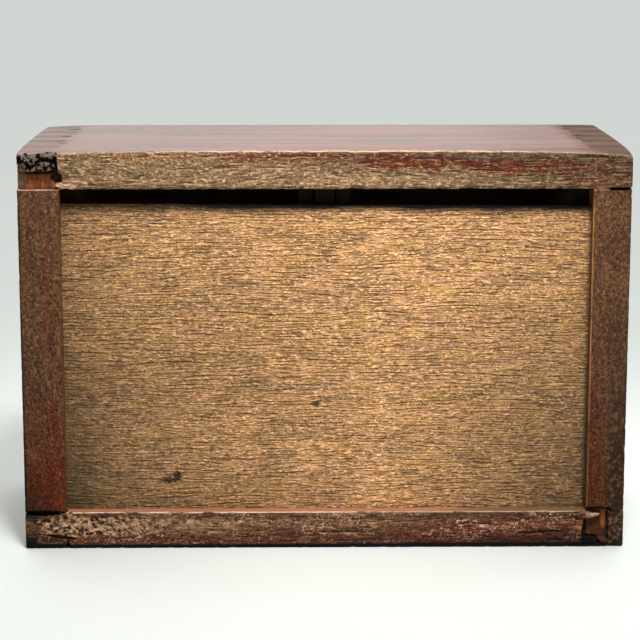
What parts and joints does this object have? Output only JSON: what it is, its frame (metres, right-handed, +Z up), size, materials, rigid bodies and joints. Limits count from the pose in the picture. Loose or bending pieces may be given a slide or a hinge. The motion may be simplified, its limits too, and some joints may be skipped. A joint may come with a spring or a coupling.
{
  "type": "tea ceremony box",
  "caption": "Small dovetailed hardwood chest for tea things, with drawers on ring pulls and a loose raw panel let into its back.",
  "frame": {"origin": "middle of the chest's underside, on the surface it stands on", "axes": "+X to the right seen from the back, +Y out of the drawers' fronts, +Z up; the back with its loose panel faces -Y"},
  "size_m": [0.24, 0.1156, 0.16],
  "materials": {
    "case_wood": "old oiled hardwood, polished on top, worn raw at its back edges",
    "panel_wood": "raw open-pored board, dry and unfinished",
    "inner_wood": "plain planed wood, unfinished",
    "front_wood": "oiled and rubbed hardwood",
    "drawer_wood": "plain light wood, unfinished",
    "bamboo": "split bamboo",
    "brass": "dull old brass"
  },
  "bodies": {
    "case": {"top_board": "case_wood", "bottom_board": "case_wood", "left_side_board": "case_wood", "right_side_board": "case_wood", "drawer_shelf": "inner_wood", "drawer_divider": "inner_wood", "drawer_stops": "inner_wood"},
    "back_panel": {"back_panel": "panel_wood"},
    "upper_left_drawer": {"upper_left_drawer_front": "front_wood", "upper_left_drawer_left_side": "drawer_wood", "upper_left_drawer_right_side": "drawer_wood", "upper_left_drawer_back": "drawer_wood", "upper_left_drawer_bottom": "drawer_wood", "upper_left_drawer_pegs": "bamboo", "upper_left_pull_plate": "brass", "upper_left_pull_pin": "brass"},
    "upper_left_ring": {"upper_left_pull_ring": "brass"},
    "upper_right_drawer": {"upper_right_drawer_front": "front_wood", "upper_right_drawer_left_side": "drawer_wood", "upper_right_drawer_right_side": "drawer_wood", "upper_right_drawer_back": "drawer_wood", "upper_right_drawer_bottom": "drawer_wood", "upper_right_drawer_pegs": "bamboo", "upper_right_pull_plate": "brass", "upper_right_pull_pin": "brass"},
    "upper_right_ring": {"upper_right_pull_ring": "brass"},
    "lower_drawer": {"lower_drawer_front": "front_wood", "lower_drawer_left_side": "drawer_wood", "lower_drawer_right_side": "drawer_wood", "lower_drawer_back": "drawer_wood", "lower_drawer_bottom": "drawer_wood", "lower_drawer_pegs": "bamboo", "lower_pull_plate": "brass", "lower_pull_pin": "brass"},
    "lower_ring": {"lower_pull_ring": "brass"}
  },
  "joints": [
    {"name": "back_panel_float", "type": "slide", "parent": "case", "child": "back_panel", "axis": [0, 0, 1], "range_m": [0, 0.0115]},
    {"name": "upper_left_drawer_slide", "type": "slide", "parent": "case", "child": "upper_left_drawer", "axis": [0, 1, 0], "range_m": [0, 0.075]},
    {"name": "upper_left_ring_swing", "type": "hinge", "parent": "upper_left_drawer", "child": "upper_left_ring", "pos_m": [-0.0545, 0.058, 0.12135], "axis": [1, 0, 0], "range_deg": [-9, 180]},
    {"name": "upper_right_drawer_slide", "type": "slide", "parent": "case", "child": "upper_right_drawer", "axis": [0, 1, 0], "range_m": [0, 0.075]},
    {"name": "upper_right_ring_swing", "type": "hinge", "parent": "upper_right_drawer", "child": "upper_right_ring", "pos_m": [0.0545, 0.058, 0.12135], "axis": [1, 0, 0], "range_deg": [-9, 180]},
    {"name": "lower_drawer_slide", "type": "slide", "parent": "case", "child": "lower_drawer", "axis": [0, 1, 0], "range_m": [0, 0.075]},
    {"name": "lower_ring_swing", "type": "hinge", "parent": "lower_drawer", "child": "lower_ring", "pos_m": [0, 0.058, 0.05235], "axis": [1, 0, 0], "range_deg": [-9, 180]}
  ]
}
